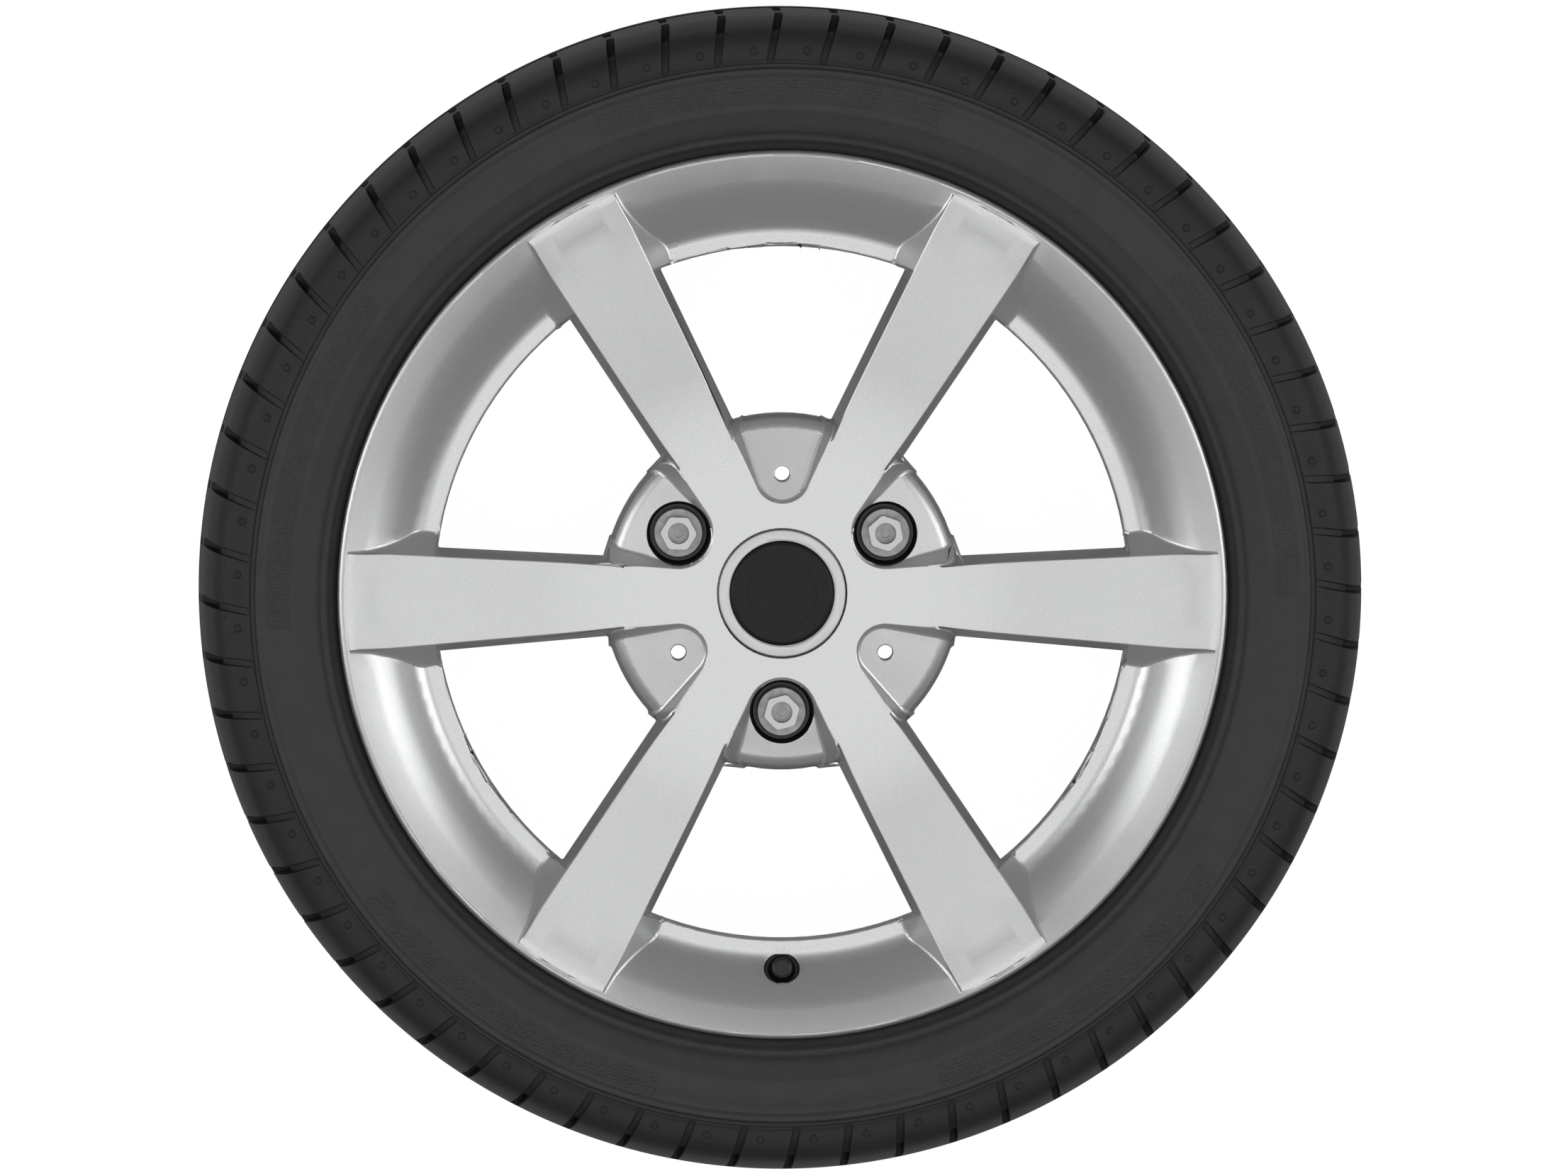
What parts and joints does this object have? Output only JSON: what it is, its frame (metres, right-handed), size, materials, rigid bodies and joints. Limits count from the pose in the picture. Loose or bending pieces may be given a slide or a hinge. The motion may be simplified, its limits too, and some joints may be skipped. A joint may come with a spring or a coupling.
{
  "type": "alloy road wheel with tyre",
  "caption": "Small one-piece cast alloy wheel with flat spokes, a tyre, wheel bolts, a clip-in centre cap and a snap-in valve",
  "frame": {"origin": "middle of the hub mounting face, on the wheel's axis", "axes": "+Z along the wheel's axis out of the styled side, +Y opposite the valve, +X to the right as seen from the styled side"},
  "size_m": [0.5491, 0.549, 0.154],
  "materials": {
    "alloy": "satin silver lacquer",
    "tyre_rubber": "matt",
    "plated_steel": "zinc plated",
    "silver_plastic": "painted silver",
    "black_plastic": "gloss",
    "spring_steel": "drawn wire",
    "black_rubber": "matt",
    "red_seal": "matt",
    "brass": "turned",
    "cap_plastic": "moulded"
  },
  "bodies": {
    "wheel": {"wheel_casting": "alloy", "tyre": "tyre_rubber", "wheel_bolt_1": "plated_steel", "wheel_bolt_2": "plated_steel", "wheel_bolt_3": "plated_steel", "centre_cap": "silver_plastic", "cap_badge": "black_plastic", "cap_spring_ring": "spring_steel", "valve_rubber": "black_rubber", "valve_stem": "brass", "core_body": "brass", "core_ring": "red_seal", "core_spring": "spring_steel"},
    "valve_pin": {"core_pin": "brass", "core_cup": "black_rubber"},
    "cap_seal": {"valve_cap_seal": "black_rubber"},
    "dust_cap": {"valve_cap": "cap_plastic"}
  },
  "joints": [
    {"name": "valve_pin_press", "type": "slide", "parent": "wheel", "child": "valve_pin", "axis": [0, -0.2079, -0.9781], "range_m": [0, 0.001], "stiffness_N_per_m": 300, "deforming": ["core_spring"]},
    {"name": "dust_cap_lift", "type": "slide", "parent": "wheel", "child": "cap_seal", "axis": [0, 0.2079, 0.9781], "range_m": [0, 0.00397]},
    {"name": "dust_cap_turn", "type": "hinge", "parent": "cap_seal", "child": "dust_cap", "pos_m": [0, -0.17504, 0.03297], "axis": [0, 0.2079, 0.9781], "range_deg": [0, 1800]}
  ],
  "couplings": [
    {"joint": "dust_cap_turn", "follows": "dust_cap_lift", "rad_per_m": 7913.3}
  ]
}
